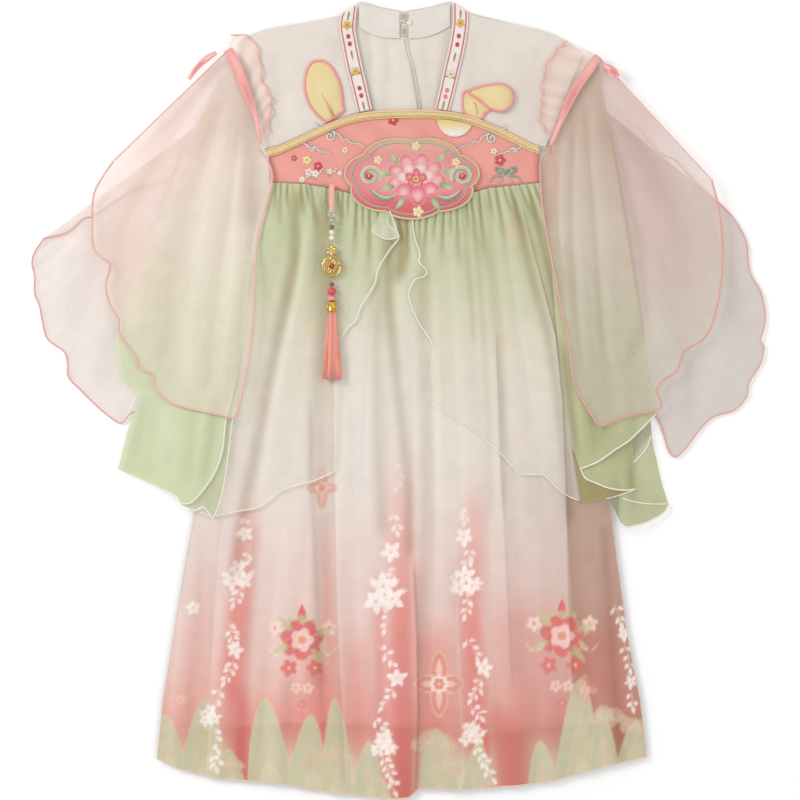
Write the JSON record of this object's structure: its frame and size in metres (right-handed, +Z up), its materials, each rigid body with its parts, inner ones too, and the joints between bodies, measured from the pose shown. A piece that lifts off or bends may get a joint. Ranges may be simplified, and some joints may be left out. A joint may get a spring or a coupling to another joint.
{
  "type": "hanfu robe",
  "caption": "Girl's one-piece hanfu dress laid flat: sheer flounced sleeves, embroidered chest band with ears, printed gathered skirt and a swinging beaded tassel pendant.",
  "frame": {"origin": "middle of the laid dress's footprint, at the surface it lies on", "axes": "+Y towards the neckline, +X towards the right of the laid dress seen from above, +Z up from the surface"},
  "size_m": [0.736, 0.7976, 0.0199],
  "materials": {
    "band_pink": "plain-woven pink cotton, interlined",
    "bead_brown": "polished brown bead",
    "bead_coral": "polished coral-red bead",
    "braid_gold": "narrow gold and cream braid",
    "chiffon_green": "sheer chiffon, white shading to pale green, white merrowed edge",
    "chiffon_skirt": "printed chiffon shading green, cream, coral pink",
    "cotton": "plain-woven cream cotton, matt",
    "ear_yellow": "pale yellow cotton with pink piped edge",
    "embroidered_ribbon": "woven white ribbon with two red lines and small embroidered motifs",
    "embroidery": "dense satin-stitch embroidery in pinks, reds, greens and gold",
    "gold": "polished gold-coloured metal",
    "organza_pink": "very sheer organza, cream with pink shading, pink merrowed edge",
    "pearl": "pearl-coated bead",
    "piping_pink": "bias-cut pink satin piping or knotted cord",
    "satin_ribbon": "coral-pink satin ribbon",
    "silver": "polished silver-coloured metal",
    "tassel": "coral rayon tassel thread"
  },
  "bodies": {
    "garment": {"skirt_back": "chiffon_skirt", "skirt_lining": "chiffon_skirt", "skirt_front": "chiffon_skirt", "overskirt_left": "chiffon_green", "overskirt_right": "chiffon_green", "band_back": "band_pink", "band_front": "band_pink", "band_piping": "piping_pink", "band_braid": "braid_gold", "band_badge": "embroidery", "moon_patch": "embroidery", "yoke_back_left": "cotton", "yoke_back_right": "cotton", "yoke_front_left": "cotton", "yoke_front_right": "cotton", "neck_facing_left": "cotton", "neck_facing_right": "cotton", "button_loop": "cotton", "back_button": "pearl", "strap_left": "embroidered_ribbon", "strap_right": "embroidered_ribbon", "ear_left": "ear_yellow", "ear_right": "ear_yellow", "flounce_back_left": "organza_pink", "flounce_front_left": "organza_pink", "ruffle_left": "organza_pink", "sleeve_back_left": "chiffon_green", "sleeve_front_left": "chiffon_green", "ribbon_left": "satin_ribbon", "bow_left": "satin_ribbon", "flounce_back_right": "organza_pink", "flounce_front_right": "organza_pink", "ruffle_right": "organza_pink", "sleeve_back_right": "chiffon_green", "sleeve_front_right": "chiffon_green", "ribbon_right": "satin_ribbon", "bow_right": "satin_ribbon", "pendant_loop": "satin_ribbon"},
    "pendant": {"clasp": "silver", "bead_brown_upper": "bead_brown", "bead_pearl_upper": "pearl", "bead_pearl_lower": "pearl", "bead_brown_lower": "bead_brown", "bead_coral": "bead_coral", "thread_upper": "tassel", "thread_lower": "tassel", "charm": "gold", "knot_dome": "piping_pink", "tassel_cap": "gold", "tassel": "tassel"}
  },
  "joints": [
    {"name": "pendant_swing", "type": "hinge", "parent": "garment", "child": "pendant", "pos_m": [-0.066, 0.188, 0.0126], "axis": [-1, 0, 0], "range_deg": [0, 140]}
  ]
}
